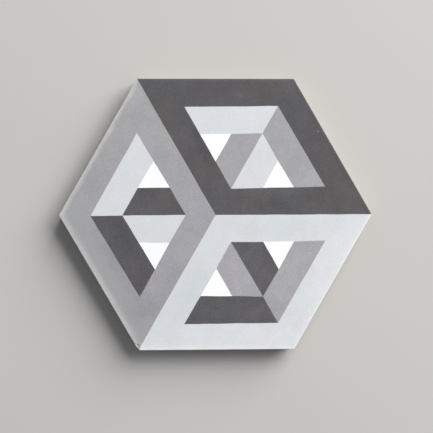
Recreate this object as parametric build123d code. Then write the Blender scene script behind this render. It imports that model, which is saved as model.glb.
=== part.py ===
from build123d import *
from build123d.topology import SkipClean
import os
from math import radians, sin, sqrt

# Hexagonal encaustic cement tile, pressed as one piece. Pigmented cement is poured side by
# side in the mould, as an isometric drawing of a hollow cube, and mortar is pressed behind
# it, so the face is flush and the seams between the pours are lines in one solid.
# Millimetres, +Z up: the back's rim is at z = 0 and the face looks up. +X points at a corner
# of the hexagon, and the origin is the middle of the back.

# The pressed body
across_flats = 200.0
thickness = 16.0
corner_radius = 1.2
face_arris = 0.5
back_arris = 0.8

# The key that the press leaves in the back, inside the rim that the tile rests on
rim_width = 12.0
key_depth = 1.5
key_draft = 45.0
key_corner_radius = 8.0

# The pigmented wear layer, and the width of the bars drawn in it
wear_layer = 3.0
bar_width = 20.0

side = across_flats / sqrt(3)
cut_clearance = 1.0


def hexagon(flats, corner):
    """A hexagon with a corner on +X, and its corners rounded."""
    outline = RegularPolygon(flats / 2, 6, major_radius=False)
    return fillet(outline.vertices(), corner)


def pressed_body():
    """The mould's hexagon with its edges eased, and the key in its back."""
    body = extrude(hexagon(across_flats, corner_radius), thickness)
    body = fillet(body.faces().sort_by(Axis.Z)[-1].edges(), face_arris)
    body = chamfer(body.faces().sort_by(Axis.Z)[0].edges(), back_arris)
    mouth = hexagon(across_flats - 2 * rim_width, key_corner_radius)
    return body - extrude(mouth, key_depth, taper=key_draft)


def pour(corners):
    """A block of the wear layer. A corner (p, q) lies p along one edge of a cube face and q
    along the other, at 120 degrees to it, from the middle of the tile."""
    points = [(p - q / 2, q * sin(radians(60))) for p, q in corners]
    outline = make_face(Polyline(*points, close=True))
    return Pos(0, 0, thickness - wear_layer) * extrude(outline, wear_layer + cut_clearance)


def cube_face():
    """The pours of one face of the cube: its frame, and what shows through its opening."""
    bar = bar_width / sin(radians(60))
    far = side - bar
    deep = far - bar
    reach = side + cut_clearance
    frame = pour([(0, 0), (reach, 0), (reach, reach), (0, reach)])
    opening = pour([(bar, bar), (far, bar), (far, far), (bar, far)])
    far_bar = [(bar, far), (far, far), (deep, deep), (bar, deep)]
    cross_bar = [(deep - bar, deep), (deep, deep), (bar, bar), (bar, 2 * bar)]
    gap = [(bar, deep), (deep - bar, deep), (bar, 2 * bar)]
    seen = [far_bar, cross_bar, gap]
    mirrored = [[(q, p) for p, q in corners] for corners in seen]
    return [frame - opening] + [pour(corners) for corners in seen + mirrored]


def encaustic_tile():
    """The three cube faces and the mortar behind them, pressed into one solid."""
    body = pressed_body()
    blocks = [Rot(0, 0, turn) * block for turn in (0, 120, 240) for block in cube_face()]
    layer = Pos(0, 0, thickness - wear_layer) * extrude(
        hexagon(across_flats + 2 * cut_clearance, corner_radius), wear_layer + cut_clearance
    )
    mortar = body - layer
    pigments = [body & block for block in blocks]
    with SkipClean():
        return mortar.fuse(*pigments)


os.makedirs("parts", exist_ok=True)
export_step(encaustic_tile(), "parts/cement_tile.step")
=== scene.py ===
from math import cos, pi, radians, sin, sqrt
from random import Random

import bpy
import numpy as np
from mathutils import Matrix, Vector, noise
from mathutils.geometry import delaunay_2d_cdt
from mathutils.kdtree import KDTree


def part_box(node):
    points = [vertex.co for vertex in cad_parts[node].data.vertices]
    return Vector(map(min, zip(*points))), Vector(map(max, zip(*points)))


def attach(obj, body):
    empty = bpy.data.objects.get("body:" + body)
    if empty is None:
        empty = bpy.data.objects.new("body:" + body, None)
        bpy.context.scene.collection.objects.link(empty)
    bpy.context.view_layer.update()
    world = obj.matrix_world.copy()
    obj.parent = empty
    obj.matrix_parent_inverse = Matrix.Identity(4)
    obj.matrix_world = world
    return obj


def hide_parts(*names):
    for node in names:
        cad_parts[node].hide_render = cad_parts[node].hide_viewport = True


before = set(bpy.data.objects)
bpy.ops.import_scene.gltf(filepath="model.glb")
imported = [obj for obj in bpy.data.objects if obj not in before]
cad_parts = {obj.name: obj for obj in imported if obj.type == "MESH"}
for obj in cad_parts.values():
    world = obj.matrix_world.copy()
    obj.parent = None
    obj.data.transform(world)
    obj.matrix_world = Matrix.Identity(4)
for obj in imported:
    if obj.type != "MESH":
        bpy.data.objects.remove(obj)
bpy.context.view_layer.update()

# Sizes in millimetres. The frame gives the tile's own, and the rest are those of its solid.
MM = 0.001
low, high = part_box("cement_tile")
thickness = round((high.z - low.z) / MM, 2)
across_flats = round((high.y - low.y) / MM, 2)
side = across_flats / sqrt(3)
corner_radius = 1.2
face_arris = 0.5
back_arris = 0.8
wear_layer = 3.0
bar_width = 20.0
rim_width = 12.0
key_depth = 1.5
key_corner_radius = 8.0

# How closely the mesh is sampled, and how much closer by the damaged corner
station_step = 0.62
damage_station_step = 0.3
damage_station_reach = 16.0
face_step = 1.45
damage_face_step = 0.45
damage_face_reach = 7.0
seam_step = 1.3
back_step = 1.6
key_stations = 64
arc_steps = 6
arris_steps = 4
wear_rings = 6
mortar_rings = 12

# Loose points of the mesh, in shares of their spacing: how far each is moved off its place, and
# how near it may lie to a point that is there already
scatter_jitter = 0.2
scatter_clearance = 0.6

# How uneven the body is, in waves of noise: how high each wave is, how long, and its seed. The
# arris and the broken places take theirs as shares of their own size.
WAVES = {
    "arris": ((0.35, 9, 1), (0.15, 2.2, 2)),
    "layer": ((0.45, 22, 3), (0.2, 5, 4)),
    "wear side": ((0.03, 2.5, 5),),
    "mortar drag": ((0.1, 1.6, 6),),
    "mortar side": ((0.12, 2.4, 7),),
    "seam": ((0.22, 15, 8), (0.05, 4, 9)),
    "face": ((0.02, 30, 10),),
    "back": ((0.1, 2.6, 11), (0.07, 1.1, 12)),
    "key": ((0.12, 14, 13),),
    "break": ((0.035, 0.9, 14), (0.05, 2.5, 15)),
}

# How far each further seed moves its noise, in waves
seed_shift = (17.3, -9.1)

# The mould drags the mortar's side into upright streaks this many times as long as wide
drag_stretch = 9

# The middle of the rounded back arris, in from the side and up, as a share of the arris
back_arris_middle = 0.35

# A seam sways less this near to its ends, and the face lies this far below its highest point
# on the whole
seam_hold = 4
face_sink = 0.02

# The rim in the back is rougher than the key, and worn flat this deep
rim_roughness = 1.2
rim_wear = 0.02


def unit(degrees):
    """The level direction at an angle from +X."""
    return Vector((cos(radians(degrees)), sin(radians(degrees))))


def ripple(x, y, z, size, seed):
    """Smooth noise from about -1 to 1, with bumps of about that size. A seed moves it along."""
    across, along = (shift * seed for shift in seed_shift)
    return noise.noise(Vector((x / size + across, y / size + along, z / size)))


def waves(kind, x, y, z=0):
    """How uneven the body is at a place, from the waves of that kind."""
    return sum(rise * ripple(x, y, z, size, seed) for rise, size, seed in WAVES[kind])


def inward(x, y):
    """How far a point is in from the nearest side of the hexagon."""
    return across_flats / 2 - max(abs(unit(turn).dot(Vector((x, y)))) for turn in (30, 90, 150))


# The inlay. Each cube face is drawn from its own first edge, and a corner (p, q) lies p along
# that edge and q along the second, 120 degrees on. A list runs anticlockwise, and also has
# the corners that its neighbours have on a shared seam, so that both follow the same points.
bar = bar_width / sin(radians(60))
far = side - bar
deep = far - bar
FAR_BAR = [(bar, far), (bar, deep), (deep - bar, deep), (deep, deep), (far, far)]
CROSS_BAR = [(bar, bar), (deep, deep), (deep - bar, deep), (bar, 2 * bar)]
GAP = [(bar, 2 * bar), (deep - bar, deep), (bar, deep)]

# The pigments of each cube face, by the angle of its first edge: its frame, the far bar and
# the cross bar on one side of the face's diagonal, and the same two on the other side
CUBE_FACES = {
    0: ("dark", "light", "mid", "mid", "light"),
    120: ("mid", "dark", "light", "light", "dark"),
    240: ("light", "mid", "dark", "dark", "mid"),
}
SLOTS = ["dark", "mid", "light", "white", "mortar"]

# The mould's dividers are set by hand, so the middle of the drawing and the corners of each
# opening stray a little: the corner by the middle, those along the first and the second
# edge, and the outermost
MIDDLE_STRAY = Vector((-0.35, -0.25))
STRAYS = {
    0: ((-0.4, -0.9), (0.0, 0.5), (0.1, -0.7), (-0.3, 0.0)),
    120: ((0.7, -0.2), (-0.2, 0.2), (1.3, -0.4), (0.1, -0.7)),
    240: ((-0.6, -0.2), (-0.7, -0.8), (0.2, 0.6), (-0.5, -0.3)),
}

# The corners inside an opening that stray by themselves, on top of what the opening does
INNER_STRAYS = {
    0: {(2 * bar, bar): (0.4, 0.1), (deep, deep - bar): (-0.3, 0.0)},
    120: {
        (2 * bar, bar): (0.3, 0.1),
        (bar, 2 * bar): (-0.7, -0.4),
        (deep, bar): (0.2, -0.4),
    },
    240: {
        (2 * bar, bar): (0.7, 0.7),
        (bar, 2 * bar): (0.6, -0.3),
        (deep, bar): (0.6, 0.5),
        (bar, deep): (0.1, -0.3),
        (deep - bar, deep): (0.4, -0.7),
        (deep, deep - bar): (0.7, 0.1),
        (deep, deep): (0.3, -0.5),
    },
}

# Damage: the corner at 240 degrees is knocked off, the side before it is nicked, and the face
# has lost two crumbs there. A scoop is a ball that bites into the body from the face: where,
# which way it faces, how far up it tilts from level, its radius and the depth of the bite.
damaged_corner = unit(240) * side
SCOOPS = [
    {"at": (-56.95, -98.9), "facing": 228, "tilt": 4, "radius": 30, "bite": 0},
    {"at": (-65.1, -88.2), "facing": 212, "tilt": 22, "radius": 2.6, "bite": 0.25},
    {"at": (-62.9, -92.0), "facing": 207, "tilt": 20, "radius": 3.0, "bite": 0.35},
    {"at": (-60.6, -95.6), "facing": 214, "tilt": 16, "radius": 3.0, "bite": 0.3},
    {"at": (-57.8, -96.2), "facing": 225, "tilt": 80, "radius": 1.4, "bite": 0.4},
    {"at": (-56.8, -97.5), "facing": 225, "tilt": 75, "radius": 1.2, "bite": 0.3},
]

# The small chips along the arris, each at random: how many, how far off the middle of a side as
# a share of it, how far up each faces, its radius, and its bite as a share of the arris
CHIPS = {
    "count": 110,
    "along": 0.48,
    "tilt": (25, 60),
    "radius": (0.7, 1.7),
    "bite": (0.35, 0.7),
}

# How deep a cut leaves a broken surface, and how deep one shows it fully
broken_depth = 0.02
fully_broken_depth = 0.3


class TileMesh:
    """The tile's vertices and faces as they are made, in millimetres."""

    def __init__(self):
        self.points = []
        self.faces = []
        self.slots = []

    def add_point(self, x, y, z):
        self.points.append((x, y, z))
        return len(self.points) - 1

    def add_face(self, corners, slot):
        self.faces.append(corners)
        self.slots.append(SLOTS.index(slot))

    def flat(self, vertex):
        return Vector(self.points[vertex][:2])


def march(start, end):
    """Points between two ends of a side, closer together by the damaged corner."""
    length = (end - start).length
    places = [0.0]
    while places[-1] < length:
        here = start.lerp(end, places[-1] / length)
        near = (here - damaged_corner).length < damage_station_reach
        places.append(places[-1] + (damage_station_step if near else station_step))
    return [start.lerp(end, place / places[-1]) for place in places[1:-1]]


def rounded_hexagon(flats, radius, between):
    """An outline's points and outward normals, from the middle of its corner on +X on."""
    centres = [unit(60 * k) * (flats / 2 - radius) / cos(radians(30)) for k in range(7)]
    points = []
    normals = []
    for k in range(6):
        for step in range(arc_steps + 1):
            normal = unit(60 * k - 30 + 60 * step / arc_steps)
            points.append(centres[k] + normal * radius)
            normals.append(normal)
        normal = unit(60 * k + 30)
        run = between(centres[k] + normal * radius, centres[k + 1] + normal * radius)
        points += run
        normals += [normal] * len(run)
    middle = arc_steps // 2
    return points[middle:] + points[:middle], normals[middle:] + normals[:middle]


def side_profile():
    """(inset, height, part of the side) of each ring, from the face down to the back."""
    rows = []
    for step in range(arris_steps + 1):
        angle = pi / 2 * step / arris_steps
        inset = face_arris * (1 - sin(angle))
        rows.append((inset, thickness - face_arris * (1 - cos(angle)), "arris"))
    top = thickness - face_arris
    seam = thickness - wear_layer
    for j in range(1, wear_rings + 1):
        rows.append((0, top + (seam - top) * j / wear_rings, "wear"))
    for j in range(1, mortar_rings + 1):
        rows.append((0, seam + (back_arris - seam) * j / mortar_rings, "mortar"))
    middle = back_arris * back_arris_middle
    rows.append((middle, middle, "mortar"))
    rows.append((back_arris, 0, "back"))
    return rows


def side_point(point, normal, inset, height, part):
    """A point of the side, with its unevenness. It only ever lies inside the true side."""
    x, y = point
    if part == "arris":
        ease = 1 + waves("arris", x, y)
        inset = inset * ease
        height = thickness - (thickness - height) * ease
    if part in ("wear", "mortar"):
        seam = thickness - wear_layer
        span = wear_layer - face_arris if height > seam else seam - back_arris
        near = max(0, 1 - abs(height - seam) / span)
        height += near * waves("layer", x, y)
    if part == "wear":
        inset += abs(waves("wear side", x, y, height))
    if part == "mortar":
        inset += abs(waves("mortar drag", x, y, height / drag_stretch))
        inset += max(0, waves("mortar side", x, y, height))
    at = point - normal * inset
    return at.x, at.y, height


def build_sides(tile):
    """The rings down the side, and the places of the corners where cube faces meet."""
    outline, normals = rounded_hexagon(across_flats, corner_radius, march)
    corners = [
        next(i for i, normal in enumerate(normals) if (normal - unit(turn)).length < 1e-4)
        for turn in CUBE_FACES
    ]
    rings = []
    parts = []
    for inset, height, part in side_profile():
        spots = [side_point(p, n, inset, height, part) for p, n in zip(outline, normals)]
        rings.append([tile.add_point(*spot) for spot in spots])
        parts.append(part)
    frames = [pigments[0] for pigments in CUBE_FACES.values()]
    for upper, lower, part in zip(rings, rings[1:], parts[1:]):
        for i in range(len(outline)):
            j = (i + 1) % len(outline)
            pigment = frames[sum(i >= corner for corner in corners) - 1]
            slot = pigment if part in ("arris", "wear") else "mortar"
            tile.add_face((upper[i], lower[i], lower[j], upper[j]), slot)
    return rings[0], rings[-1], corners


class Seams:
    """The seams between the pours. Each is sampled once, and both its sides share it."""

    def __init__(self, tile):
        self.tile = tile
        self.ends = {}
        self.runs = {}

    def end(self, point):
        key = (round(point.x, 3), round(point.y, 3))
        if key not in self.ends:
            self.ends[key] = self.tile.add_point(point.x, point.y, thickness)
        return key

    def pin(self, point, vertex):
        """A seam's end at a vertex that is there already."""
        self.ends[(round(point.x, 3), round(point.y, 3))] = vertex

    def run(self, start, end):
        """The vertices from one end up to, and without, the other."""
        first = self.end(start)
        last = self.end(end)
        if (first, last) in self.runs:
            return [self.ends[first]] + self.runs[first, last]
        if (last, first) in self.runs:
            return [self.ends[first]] + self.runs[last, first][::-1]
        start = self.tile.flat(self.ends[first])
        end = self.tile.flat(self.ends[last])
        length = (end - start).length
        across = Vector((start.y - end.y, end.x - start.x)) / length
        steps = max(2, round(length / seam_step))
        made = []
        for j in range(1, steps):
            along = start.lerp(end, j / steps)
            held = min(1, min(j, steps - j) * length / steps / seam_hold)
            at = along + across * waves("seam", along.x, along.y) * held
            made.append(self.tile.add_point(at.x, at.y, thickness))
        self.runs[first, last] = made
        return [self.ends[first]] + made

    def loop(self, points):
        """The vertices round a closed line of seams."""
        pairs = zip(points, points[1:] + points[:1])
        return [vertex for start, end in pairs for vertex in self.run(start, end)]


def strayed(turn, p, q):
    """Where a corner of the drawing in an opening lies, with the stray of the opening."""
    place = unit(turn) * p + unit(turn + 120) * q
    u = (p - bar) / (far - bar)
    v = (q - bar) / (far - bar)
    shares = ((1 - u) * (1 - v), u * (1 - v), (1 - u) * v, u * v)
    for share, stray in zip(shares, STRAYS[turn]):
        place += Vector(stray) * share
    return place + Vector(INNER_STRAYS[turn].get((p, q), (0, 0)))


def scatter(tile, taken, step, height, wanted, seed):
    """Jittered points over the hexagon where they are wanted, clear of those taken."""
    tree = KDTree(len(taken))
    for vertex in taken:
        tree.insert((*tile.points[vertex][:2], 0), vertex)
    tree.balance()
    chance = Random(seed)
    reach = int(side / step) + 2
    added = []
    for row in range(-reach, reach + 1):
        for column in range(-reach, reach + 1):
            x = (column + row % 2 / 2 + chance.uniform(-scatter_jitter, scatter_jitter)) * step
            y = (row * sin(radians(60)) + chance.uniform(-scatter_jitter, scatter_jitter)) * step
            if wanted(x, y) and tree.find((x, y, 0))[2] > scatter_clearance * step:
                added.append(tile.add_point(x, y, height(x, y)))
    return added


def fill(tile, loops, slots, loose, downward=False):
    """Triangles between the loops' and the loose vertices, each of the last loop it is in."""
    used = sorted({vertex for loop in loops for vertex in loop} | set(loose))
    place = {vertex: k for k, vertex in enumerate(used)}
    flat = [tile.flat(vertex) for vertex in used]
    borders = [[place[vertex] for vertex in loop] for loop in loops]
    inside_borders = 1
    same_point = 1e-7
    _, _, triangles, sources, _, owners = delaunay_2d_cdt(
        flat, [], borders, inside_borders, same_point
    )
    vertices = [used[source[0]] for source in sources]
    for triangle, owner in zip(triangles, owners):
        a, b, c = (vertices[k] for k in triangle)
        turn = (tile.flat(b) - tile.flat(a)).cross(tile.flat(c) - tile.flat(a))
        if (turn < 0) != downward:
            a, b, c = a, c, b
        tile.add_face((a, b, c), slots[max(owner)])


def face_height(x, y):
    """The face, which is flat but for the slightest unevenness of the press."""
    return thickness - face_sink - waves("face", x, y)


def build_face(tile, rim, corners):
    """The face: the three frames, and what shows through each one's opening."""
    seams = Seams(tile)
    for turn, corner in zip(CUBE_FACES, corners):
        seams.pin(unit(turn) * side, rim[corner])
    frames = []
    cells = []
    frame_slots = []
    cell_slots = []
    for turn, corner, after in zip(CUBE_FACES, corners, corners[1:] + [len(rim)]):
        pigments = CUBE_FACES[turn]
        out = seams.run(MIDDLE_STRAY, unit(turn) * side)
        back = seams.run(unit(turn + 120) * side, MIDDLE_STRAY)
        frames.append(out + rim[corner:after] + back)
        frame_slots.append(pigments[0])
        shapes = [FAR_BAR, CROSS_BAR, GAP]
        mirrored = [[(q, p) for p, q in reversed(shape)] for shape in shapes]
        slots = [*pigments[1:3], "white", *pigments[3:5], "white"]
        for shape, slot in zip(shapes + mirrored, slots):
            cells.append(seams.loop([strayed(turn, p, q) for p, q in shape]))
            cell_slots.append(slot)
    taken = sorted({vertex for loop in frames + cells for vertex in loop})

    def near_damage(x, y):
        return (Vector((x, y)) - damaged_corner).length < damage_face_reach

    def clear_of_arris(x, y):
        return inward(x, y) > face_arris + face_step / 2 and not near_damage(x, y)

    def by_damage(x, y):
        return inward(x, y) > face_arris + damage_face_step and near_damage(x, y)

    coarse = scatter(tile, taken, face_step, face_height, clear_of_arris, seed=1)
    fine = scatter(tile, taken + coarse, damage_face_step, face_height, by_damage, seed=2)
    fill(tile, frames + cells, frame_slots + cell_slots, coarse + fine)


def key_inset(x, y):
    """How far a point is inside the mouth of the key in the back."""
    point = Vector((x, y))
    turn = round(np.degrees(np.arctan2(y, x)) / 60 - 0.5) * 60 + 30
    out = unit(turn).dot(point)
    along = abs(unit(turn + 90).dot(point))
    flat = across_flats / 2 - rim_width
    straight = (flat - key_corner_radius) / sqrt(3)
    if along <= straight:
        return flat - out
    centre_gap = Vector((out - (flat - key_corner_radius), along - straight))
    return key_corner_radius - centre_gap.length


def back_height(x, y):
    """The back: a rim that the tile rests on, round a shallow key with sloping walls."""
    depth = min(max(key_inset(x, y), 0), key_depth)
    rough = waves("back", x, y)
    if depth == 0:
        return max(0, rim_roughness * rough - rim_wear)
    return max(0, depth + rough + waves("key", x, y) * depth / key_depth)


def build_back(tile, edge):
    """The rim, the walls of the key and its floor."""

    def evenly(start, end):
        return [start.lerp(end, j / key_stations) for j in range(1, key_stations)]

    loops = [edge]
    for drop in (0, key_depth):
        flats = across_flats - 2 * (rim_width + drop)
        outline, _ = rounded_hexagon(flats, key_corner_radius - drop, evenly)
        loops.append([tile.add_point(p.x, p.y, back_height(p.x, p.y)) for p in outline])
    taken = [vertex for loop in loops for vertex in loop]

    def clear_of_arris(x, y):
        return inward(x, y) > back_arris + back_step / 2

    loose = scatter(tile, taken, back_step, back_height, clear_of_arris, seed=3)
    fill(tile, loops, ["mortar"] * len(loops), loose, downward=True)


def scoops():
    """The damage and the small chips along the arris, as balls: a centre and a radius."""
    bites = list(SCOOPS)
    chance = Random(4)
    for _ in range(CHIPS["count"]):
        turn = chance.randrange(6) * 60 + 30
        along = chance.uniform(-CHIPS["along"], CHIPS["along"]) * side
        spot = unit(turn) * across_flats / 2 + unit(turn + 90) * along
        bites.append(
            {
                "at": tuple(spot),
                "facing": turn,
                "tilt": chance.uniform(*CHIPS["tilt"]),
                "radius": chance.uniform(*CHIPS["radius"]),
                "bite": face_arris * chance.uniform(*CHIPS["bite"]),
            }
        )
    balls = []
    for bite in bites:
        level = unit(bite["facing"]) * cos(radians(bite["tilt"]))
        facing = Vector((level.x, level.y, sin(radians(bite["tilt"]))))
        surface = Vector((*bite["at"], thickness))
        centre = surface + facing * (bite["radius"] - bite["bite"])
        balls.append((np.array(centre), bite["radius"]))
    return balls


def carve(points):
    """Pushes what is inside a scoop back to its ball. Gives how deep each point was cut."""
    depth = np.zeros(len(points))
    for centre, radius in scoops():
        away = points - centre
        gap = np.linalg.norm(away, axis=1)
        for k in np.nonzero(gap < radius)[0]:
            rough = 1 + waves("break", *points[k])
            reach = max(radius * min(rough, 1), gap[k])
            points[k] = centre + away[k] / gap[k] * reach
            depth[k] += reach - gap[k]
    return depth


def build_tile():
    """The whole tile as one piece, with its damage and its materials' slots."""
    tile = TileMesh()
    rim, edge, corners = build_sides(tile)
    build_face(tile, rim, corners)
    build_back(tile, edge)
    points = np.array(tile.points)
    chipped = carve(points)
    mesh = bpy.data.meshes.new("inlaid_tile")
    mesh.from_pydata((points * MM).tolist(), [], tile.faces)
    for slot in SLOTS:
        mesh.materials.append(bpy.data.materials[slot])
    mesh.polygons.foreach_set("material_index", tile.slots)
    broken = chipped > broken_depth
    smooth = [not all(broken[vertex] for vertex in corners) for corners in tile.faces]
    mesh.polygons.foreach_set("use_smooth", smooth)
    attribute = mesh.attributes.new("chipped", "FLOAT", "POINT")
    shown = np.clip(chipped / fully_broken_depth, 0, 1)
    attribute.data.foreach_set("value", shown.astype(np.float32))
    mesh.update()
    piece = bpy.data.objects.new("inlaid_tile", mesh)
    bpy.context.scene.collection.objects.link(piece)
    return piece


# Materials


def srgb(red, green, blue):
    """A colour as seen, 0 to 255, as the renderer's linear values."""
    shares = [value / 255 for value in (red, green, blue)]
    linear = [s / 12.92 if s <= 0.04045 else ((s + 0.055) / 1.055) ** 2.4 for s in shares]
    return (*linear, 1.0)


# What nearly all of the clouds' noise lies between
CLOUD_RANGE = (0.2, 0.8)

# The sockets of the node that mixes colours: the share and the two colours, and the result
MIX_INPUTS = (0, 6, 7)
MIX_RESULT = 2


class Look:
    """One material, and short calls for its nodes. Lengths are in millimetres."""

    def __init__(self, name):
        self.material = bpy.data.materials.new(name)
        self.material.use_nodes = True
        self.tree = self.material.node_tree
        self.shader = self.tree.nodes["Principled BSDF"]
        self.place = self.add("TexCoord").outputs["Object"]
        height = self.add("SeparateXYZ", {"Vector": self.place}).outputs["Z"]
        self.up = self.maths("DIVIDE", height, MM)

    def add(self, kind, inputs=None, **settings):
        node = self.tree.nodes.new("ShaderNode" + kind)
        for name, value in settings.items():
            setattr(node, name, value)
        for name, value in (inputs or {}).items():
            if isinstance(value, bpy.types.NodeSocket):
                self.tree.links.new(value, node.inputs[name])
            else:
                node.inputs[name].default_value = value
        return node

    def maths(self, operation, first, second=0.0):
        return self.add("Math", {0: first, 1: second}, operation=operation).outputs[0]

    def spread(self, value, low, high, to_low=0.0, to_high=1.0):
        """A value between two limits, eased and moved to between two others."""
        inputs = {0: value, 1: low, 2: high, 3: to_low, 4: to_high}
        return self.add("MapRange", inputs, interpolation_type="SMOOTHSTEP").outputs[0]

    def clouds(self, size, seed, detail=3.0, distortion=0.0, place=None):
        """Noise from 0 to 1, with patches of about that size."""
        inputs = {
            "Vector": place or self.place,
            "W": seed,
            "Scale": 1 / (size * MM),
            "Detail": detail,
            "Distortion": distortion,
        }
        return self.add("TexNoise", inputs, noise_dimensions="4D").outputs["Fac"]

    def swing(self, size, seed, middle, reach, detail=3.0, distortion=0.0):
        """Clouds that swing about a middle value, up to that reach either way."""
        clouds = self.clouds(size, seed, detail, distortion)
        return self.spread(clouds, *CLOUD_RANGE, middle - reach, middle + reach)

    def cells(self, size):
        """Points strewn that far apart: how far off the nearest is, and a random number for it."""
        node = self.add("TexVoronoi", {"Vector": self.place, "Scale": 1 / (size * MM)})
        chance = self.add("SeparateColor", {"Color": node.outputs["Color"]}).outputs[0]
        return self.maths("MULTIPLY", node.outputs["Distance"], size), chance

    def mixed(self, share, first, second):
        """The first colour, with that share of the second."""
        inputs = dict(zip(MIX_INPUTS, (share, first, second)))
        return self.add("Mix", inputs, data_type="RGBA").outputs[MIX_RESULT]

    def brightened(self, colour, factor):
        """A colour with its value scaled."""
        inputs = {"Value": factor, "Color": colour}
        return self.add("HueSaturation", inputs).outputs["Color"]

    def inset(self, turn):
        """How far a point is in from the side of the hexagon that faces that way."""
        inputs = {0: self.place, 1: (*unit(turn), 0)}
        out = self.add("VectorMath", inputs, operation="DOT_PRODUCT").outputs["Value"]
        return self.maths("SUBTRACT", across_flats / 2, self.maths("DIVIDE", out, MM))

    def edge_inset(self):
        """How far a point is in from the nearest side of the hexagon."""
        nearest = self.inset(30)
        for turn in range(90, 360, 60):
            nearest = self.maths("MINIMUM", nearest, self.inset(turn))
        return nearest

    def away(self, x, y):
        """How far a point is from a spot on the face."""
        inputs = {0: self.place, 1: (x * MM, y * MM, thickness * MM)}
        gap = self.add("VectorMath", inputs, operation="DISTANCE").outputs["Value"]
        return self.maths("DIVIDE", gap, MM)

    def finish(self, colour, roughness, relief, relief_height, specular):
        inputs = {"Height": relief, "Distance": relief_height * MM, "Strength": 1.0}
        bump = self.add("Bump", inputs)
        self.tree.links.new(colour, self.shader.inputs["Base Color"])
        self.tree.links.new(roughness, self.shader.inputs["Roughness"])
        self.tree.links.new(bump.outputs["Normal"], self.shader.inputs["Normal"])
        self.shader.inputs["Specular IOR Level"].default_value = specular


# What is strewn in the mortar: how far apart, how large at most, its share and its colour.
# The last are pores, painted dark as their shade, since they have no depth in the relief.
GRAINS = [
    (0.9, 0.42, 0.6, (186, 181, 170)),
    (1.3, 0.46, 0.55, (104, 98, 91)),
    (1.9, 0.5, 0.5, (172, 160, 140)),
    (2.9, 0.55, 0.85, (66, 64, 61)),
]

# How much of a grain's radius shows its full colour
grain_core = 0.6


def mortar_colour(look):
    """Grey mortar: cloudy and sandy, with pale and dark grains, and pores whose dark is painted
    shade.
    """
    base = look.mixed(look.clouds(9, seed=1), srgb(140, 137, 131), srgb(160, 157, 150))
    patchy = look.brightened(base, look.swing(2.6, seed=2, middle=1, reach=0.1))
    sandy = look.swing(0.4, seed=19, middle=1, reach=0.2, detail=4.0)
    colour = look.brightened(patchy, sandy)
    for spacing, largest, share, grain in GRAINS:
        gap, chance = look.cells(spacing)
        radius = look.maths("MULTIPLY", chance, largest)
        core = look.maths("MULTIPLY", radius, grain_core)
        shown = look.spread(gap, core, radius, share, 0)
        colour = look.mixed(shown, colour, srgb(*grain))
    return colour


def mortar_look():
    """The mortar of the sides and the back, whose finest grains stand out of it."""
    look = Look("mortar")
    spacing, largest, _, _ = GRAINS[0]
    least = 0.01
    grain_rise = 0.5
    gap, chance = look.cells(spacing)
    radius = look.maths("ADD", look.maths("MULTIPLY", chance, largest), least)
    grains = look.spread(gap, 0, radius, grain_rise, 0)
    sand = look.maths("ADD", grains, look.clouds(0.6, seed=3, detail=4.0))
    relief = look.maths("ADD", sand, look.clouds(2.4, seed=4, detail=2.0))
    roughness = look.spread(look.clouds(5, seed=5), 0.3, 0.7, to_low=0.86, to_high=0.97)
    look.finish(mortar_colour(look), roughness, relief, relief_height=0.22, specular=0.3)
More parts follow.
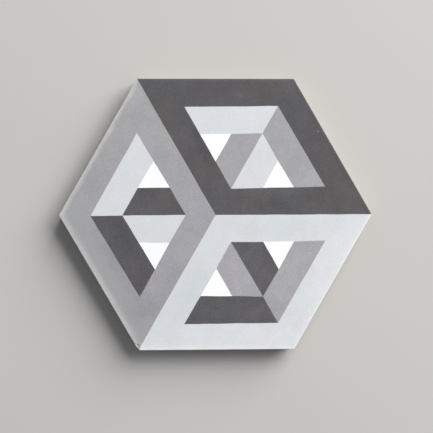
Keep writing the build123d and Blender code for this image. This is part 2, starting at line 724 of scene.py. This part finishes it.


# The pigments. A colour is given as it looks, 0 to 255, and a stain is a second shade that
# comes and goes. Clouding is how strong the mottling is and grain how strong the fine speckle
# is, from the mean to the extremes. A veil is a broad soft patch of the pour, but one of the
# mid pigment's is painted light: its middle, its direction, how far it reaches along and across
# that, and by what share it is brighter. A bloom follows one side of the tile: the side's
# direction, how far in it starts to fade and has faded, its share and its colour. The arris has
# the share and the colour that it is rubbed to. A mark is a spot: its middle, radius, share and
# colour. By the damaged corner the spots are painted shade and dirt in the chips, and one is a
# painted highlight.
PIGMENTS = {
    "dark": {
        "colour": (85.8, 84.5, 87.1),
        "stain": (88, 83.7, 84.6),
        "clouding": 0.2,
        "grain": 0.3,
        "pour_veils_and_painted_light": [
            (-9.3, 47.6, 120, 24, 7, -0.18),
            (38.7, 7.7, 0, 17, 6, -0.1),
            (38.7, 17.5, 0, 36, 6, 0.11),
            (53.5, 94.9, 0, 13, 11, 0.12),
            (16.6, 87.5, 0, 8, 7, 0.1),
            (-5.6, 91.9, 0, 26, 10, -0.07),
            (71.2, 47.6, 120, 30, 9, 0.04),
            (-50.0, 18.0, 0, 11, 10, -0.14),
            (-66.2, -18.9, 120, 24, 9, -0.21),
            (30.6, -37.4, 120, 28, 15, 0.13),
            (40.2, -72.1, 0, 18, 9, 0.15),
            (-12.0, -68.0, 0, 16, 9, 0.06),
            (62.0, 62.0, 120, 85, 60, -0.1),
            (-14.0, -25.0, 150, 130, 50, 0.05),
            (-4.0, 58.0, 120, 44, 15, -0.065),
            (0.0, 92.0, 0, 70, 14, -0.03),
            (22.0, -74.0, 0, 40, 14, 0.045),
        ],
        "blooms": [(90, 0.2, 2.6, 0.1, (110, 105, 100)), (30, 1.0, 4.6, 0.6, (76, 73, 70))],
        "arris": (0.08, (112, 107, 101)),
        "marks_and_painted_light": [
            (18.2, 87.7, 1.6, 0.3, (118, 118, 118)),
            (75.8, 61.4, 0.9, 0.6, (140, 140, 138)),
            (26.5, 97.0, 1.4, 0.3, (112, 110, 110)),
        ],
    },
    "mid": {
        "colour": (160, 157.5, 162.1),
        "stain": (160.5, 160.3, 160.6),
        "clouding": 0.095,
        "grain": 0.175,
        "pour_veils_and_painted_light": [
            (-75.8, -32.2, 120, 36, 9, -0.16),
            (-57.0, -71.0, 60, 19, 15, -0.15),
            (-34.0, -54.0, 60, 28, 11, -0.075),
            (-58.8, 88.0, 90, 13, 10, 0.06),
            (55.0, -47.0, 60, 38, 16, 0.08),
            (15.0, -44.0, 90, 24, 18, 0.09),
            (71.2, 24.0, 0, 14, 12, 0.06),
            # Painted light: this broad veil brightens the lower right, where the lamp lights the
            # face a little less
            (25.0, -52.0, 0, 60, 34, 0.02),
        ],
        "blooms": [
            (210, 4.0, 24.0, 0.75, (159, 159.5, 159)),
            (150, 0.9, 4.4, 0.52, (205, 202, 198)),
            (210, -1.0, 6.6, 0.7, (205, 204, 200)),
        ],
        "arris": (0.5, (212, 208, 202)),
        "marks_and_painted_light": [
            # Painted shade and dirt: dark spots in the chips by the damaged corner
            (-57.9, -96.0, 1.2, 1.0, (66, 64, 62)),
            (-56.8, -97.5, 1.0, 0.55, (100, 98, 96)),
            (-59.8, -94.9, 0.7, 0.6, (112, 110, 106)),
            (-61.6, -92.2, 0.5, 0.5, (110, 108, 104)),
        ],
    },
    "light": {
        "colour": (210, 214, 215.5),
        "stain": (212, 212.5, 214),
        "clouding": 0.05,
        "grain": 0.078,
        "pour_veils_and_painted_light": [
            (-18.9, -55.9, 60, 36, 15, -0.05),
            (84.5, -36.7, 60, 55, 16, 0.06),
            (43.9, -10.0, 0, 48, 10, -0.03),
            (14.3, -89.9, 0, 80, 15, 0.06),
        ],
        "blooms": [
            (270, -1.5, 7.2, 0.5, (238, 234, 230)),
            (270, 0.3, 2.4, 0.5, (248, 245, 241)),
            (330, -1.5, 8.5, 0.36, (234, 233, 231)),
        ],
        "arris": (0.5, (243, 240, 235)),
        "marks_and_painted_light": [
            # Painted highlight: a bright spot by the damaged corner
            (-54.1, -96.9, 0.8, 0.6, (240, 239, 237)),
            (57.0, -96.3, 0.7, 0.65, (160, 154, 148)),
            (55.0, -97.2, 0.5, 0.35, (180, 175, 170)),
            (53.9, -96.7, 0.5, 0.35, (180, 175, 170)),
            (62.9, -84.2, 0.5, 0.35, (172, 170, 168)),
        ],
    },
    "white": {
        "colour": (251, 251, 250),
        "stain": (246, 246, 246),
        "clouding": 0.008,
        "grain": 0.008,
        "pour_veils_and_painted_light": [],
        "blooms": [],
        "arris": (0, (251, 251, 250)),
        "marks_and_painted_light": [],
    },
}


# How much of the clouding its broad patches have, and how much the ones of medium size
broad_clouding = 0.45
medium_clouding = 0.22

# The stain: between which values of its clouds it comes in, and its share where it is strongest
STAIN_ONSET = (0.38, 0.62)
stain_share = 0.8

# The pinholes in the face, painted shade as darker spots without depth: how far apart, how large at
# most, and how much darker
pinhole_spacing = 3.4
largest_pinhole = 0.3
pinhole_shade_share = 0.35

# What part of its reach a veil is even in, and where it ends
VEIL_FADE = (0.1, 1.1)

# A mark: what part of its radius it is even in, and how ragged it is, as shares of the radius
mark_core = 0.3
mark_raggedness = 0.4

# How far inside the arris, and how far below it, the rubbing on it has faded
rubbed_width = 1.1
rubbed_drop = 0.4

# Mortar on the side of the wear layer: its foot is covered up to a ragged line, and smears
# climb from there, tall and narrow, in stretches and to uneven heights. An onset is between
# which values of their clouds they come in.
foot_rise = 0.5
foot_share = 0.9
smear_width = 2.2
smear_flatness = 0.55
smear_share = 0.6
SMEAR_ONSET = (0.4, 0.7)
STRETCH_ONSET = (0.4, 0.62)
between_stretches = 0.1
smear_climb = 4.0
smear_fade = (1.6, 0.6)
smear_trace = 0.12

# The share of the rubbed colour on a broken surface
broken_share = 0.6


def veiled_and_painted_light(look, pigment, colour):
    """The broad patches that the pour left, and one patch of painted light, soft and a little
    uneven.
    """
    uneven = look.swing(7, seed=5, middle=0, reach=0.3)
    change = 1.0
    for x, y, turn, length, width, share in pigment["pour_veils_and_painted_light"]:
        inputs = {
            "Vector": look.place,
            "Location": (x * MM, y * MM, thickness * MM),
            "Rotation": (0, 0, radians(turn)),
            "Scale": (length * MM, width * MM, 1),
        }
        local = look.add("Mapping", inputs, vector_type="TEXTURE").outputs["Vector"]
        gap = look.add("VectorMath", {0: local}, operation="LENGTH").outputs["Value"]
        patch = look.spread(look.maths("ADD", gap, uneven), *VEIL_FADE, share, 0)
        change = look.maths("ADD", patch, change)
    return look.brightened(colour, change)


def mottled(look, pigment):
    """The pigment by itself: clouds from the pour, a stain, fine grain, and pinholes as painted
    shade.
    """
    broad_reach = broad_clouding * pigment["clouding"]
    medium_reach = medium_clouding * pigment["clouding"]
    broad = look.swing(16, seed=6, middle=1, reach=broad_reach, distortion=0.4)
    medium = look.swing(5, seed=8, middle=1, reach=medium_reach)
    fine = look.swing(0.7, seed=9, middle=1, reach=pigment["grain"], detail=5.0)
    stained = look.spread(look.clouds(34, seed=7, detail=2.0), *STAIN_ONSET, 0, stain_share)
    plain = look.brightened(srgb(*pigment["colour"]), broad)
    colour = look.mixed(stained, plain, look.brightened(srgb(*pigment["stain"]), broad))
    colour = look.brightened(look.brightened(colour, medium), fine)
    # Painted shade: the pinholes are only darker spots, with no depth in the relief
    gap, chance = look.cells(pinhole_spacing)
    radius = look.maths("MULTIPLY", chance, largest_pinhole)
    pinhole = look.spread(gap, 0, radius, pinhole_shade_share, 0)
    return look.brightened(colour, look.maths("SUBTRACT", 1.0, pinhole))


def bloomed(look, pigment, colour):
    """The haze along the sides that the pigment meets, ragged where it ends."""
    wander = look.swing(9, seed=10, middle=0, reach=0.8)
    ragged = look.maths("ADD", wander, look.swing(1.7, seed=11, middle=0, reach=0.3))
    for turn, start, end, share, bloom in pigment["blooms"]:
        reach = look.maths("ADD", look.inset(turn), ragged)
        haze = look.spread(reach, start, end, share, 0)
        colour = look.mixed(haze, colour, srgb(*bloom))
    return colour


def marked_and_painted_light(look, pigment, colour):
    """The few spots on the face: specks, and by the damaged corner painted shade and dirt in the
    chips and a painted highlight.
    """
    for x, y, radius, share, mark in pigment["marks_and_painted_light"]:
        ragged = look.swing(0.8, seed=12, middle=0, reach=mark_raggedness * radius)
        gap = look.maths("ADD", look.away(x, y), ragged)
        shown = look.spread(gap, mark_core * radius, radius, share, 0)
        colour = look.mixed(shown, colour, srgb(*mark))
    return colour


def smeared(look, foot):
    """The mortar smeared up the wear layer's side from its foot."""
    dragged = look.add("Mapping", {"Vector": look.place, "Scale": (1, 1, smear_flatness)})
    strokes = look.clouds(smear_width, seed=15, detail=4.0, place=dragged.outputs["Vector"])
    stretches = look.spread(look.clouds(14, seed=20), *STRETCH_ONSET, between_stretches, 1)
    smears = look.spread(strokes, *SMEAR_ONSET, 0, smear_share)
    streaks = look.maths("MULTIPLY", smears, stretches)
    rise = look.maths("MULTIPLY", look.clouds(2.8, seed=21), smear_climb)
    climb = look.maths("SUBTRACT", look.up, rise)
    below, above = smear_fade
    reached = look.spread(climb, foot - below, foot + above, 1, smear_trace)
    return look.maths("MULTIPLY", streaks, reached)


def pigment_look(name, pigment):
    """Pigmented cement, on the face and down the side of the wear layer."""
    look = Look(name)
    colour = bloomed(look, pigment, veiled_and_painted_light(look, pigment, mottled(look, pigment)))

    # The arris, rubbed pale
    share, rubbed = pigment["arris"]
    arris_foot = thickness - face_arris
    on_face = look.spread(look.up, arris_foot - rubbed_drop, arris_foot)
    wander = look.swing(1.4, seed=13, middle=0, reach=0.4)
    inset = look.maths("ADD", look.edge_inset(), wander)
    on_arris = look.spread(inset, face_arris, rubbed_width, share, 0)
    eased = look.mixed(look.maths("MULTIPLY", on_face, on_arris), colour, srgb(*rubbed))

    # The layer's side, with mortar over its foot and smeared up from there
    foot = thickness - wear_layer + foot_rise
    ragged_foot = look.maths("SUBTRACT", look.up, look.clouds(0.9, seed=14))
    covered = look.spread(ragged_foot, foot - foot_rise, foot, foot_share, 0)
    below = look.maths("SUBTRACT", 1.0, on_face)
    dirt = look.maths("MULTIPLY", below, look.maths("MAXIMUM", smeared(look, foot), covered))
    sided = look.mixed(dirt, eased, mortar_colour(look))

    chipped = look.add("Attribute", attribute_name="chipped").outputs["Fac"]
    broken = look.mixed(look.maths("MULTIPLY", chipped, broken_share), sided, srgb(*rubbed))
    roughness = look.spread(look.clouds(6, seed=16), 0.3, 0.7, to_low=0.6, to_high=0.76)
    relief = look.maths("ADD", look.clouds(0.5, seed=17), look.clouds(2.6, seed=18))
    look.finish(marked_and_painted_light(look, pigment, broken), roughness, relief, relief_height=0.02, specular=0.35)


def build_materials():
    for name, pigment in PIGMENTS.items():
        pigment_look(name, pigment)
    mortar_look()


# The stage


def build_stage():
    """A plain floor, grey by the tile and painted paler far off, so that it stays pale to the
    horizon. The paler far floor is painted light, making up for the lamp's light falling off.

    Its lengths are in metres.
    """
    floor_size = 40.0
    # A hair below the rim of the tile, so that the two never coincide
    floor_height = -0.05 * MM
    near_colour = srgb(196, 193, 188)
    # Painted light: the far colour stands in for the light that falls off away from the lamp
    far_painted_light_colour = srgb(250, 248, 244)
    fade_start = 1.5
    fade_end = 8.0
    corners = [(-1, -1), (1, -1), (1, 1), (-1, 1)]
    mesh = bpy.data.meshes.new("floor")
    spots = [(x * floor_size / 2, y * floor_size / 2, floor_height) for x, y in corners]
    mesh.from_pydata(spots, [], [(0, 1, 2, 3)])
    floor = bpy.data.objects.new("floor", mesh)
    bpy.context.scene.collection.objects.link(floor)
    look = Look("floor")
    away = look.add("VectorMath", {0: look.place}, operation="LENGTH").outputs["Value"]
    colour = look.mixed(look.spread(away, fade_start, fade_end), near_colour, far_painted_light_colour)
    look.tree.links.new(colour, look.shader.inputs["Base Color"])
    look.shader.inputs["Roughness"].default_value = 0.9
    look.shader.inputs["Specular IOR Level"].default_value = 0.2
    mesh.materials.append(look.material)


def add_light(name, azimuth, elevation, distance, size, power):
    """A square soft light that looks at the middle of the tile."""
    data = bpy.data.lights.new(name, "AREA")
    data.shape = "SQUARE"
    data.size = size
    data.energy = power
    light = bpy.data.objects.new(name, data)
    level = unit(azimuth) * cos(radians(elevation))
    towards = Vector((level.x, level.y, sin(radians(elevation))))
    light.location = towards * distance
    light.rotation_euler = towards.to_track_quat("Z", "Y").to_euler()
    bpy.context.scene.collection.objects.link(light)


def build_lights():
    """One large soft light from the upper right, and a weak even light from all round."""
    add_light("key", azimuth=46, elevation=33, distance=3.5, size=3.0, power=231.0)
    world = bpy.data.worlds.new("room")
    world.use_nodes = True
    background = world.node_tree.nodes["Background"]
    background.inputs["Color"].default_value = srgb(241, 244, 255)
    background.inputs["Strength"].default_value = 0.25
    bpy.context.scene.world = world


def build_camera():
    """The camera of the photograph, nearly straight above the tile."""
    data = bpy.data.cameras.new("camera")
    data.lens = 70.0
    data.sensor_width = 36.0
    camera = bpy.data.objects.new("camera", data)
    camera.location = (-0.0182, 0.0104, 0.6366)
    camera.rotation_euler = [radians(angle) for angle in (-1.080, -1.713, -0.168)]
    bpy.context.scene.collection.objects.link(camera)
    bpy.context.scene.camera = camera


build_materials()
tile_piece = build_tile()
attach(tile_piece, "root")
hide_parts("cement_tile")
build_stage()
build_lights()
build_camera()
bpy.context.scene.view_settings.view_transform = "Standard"
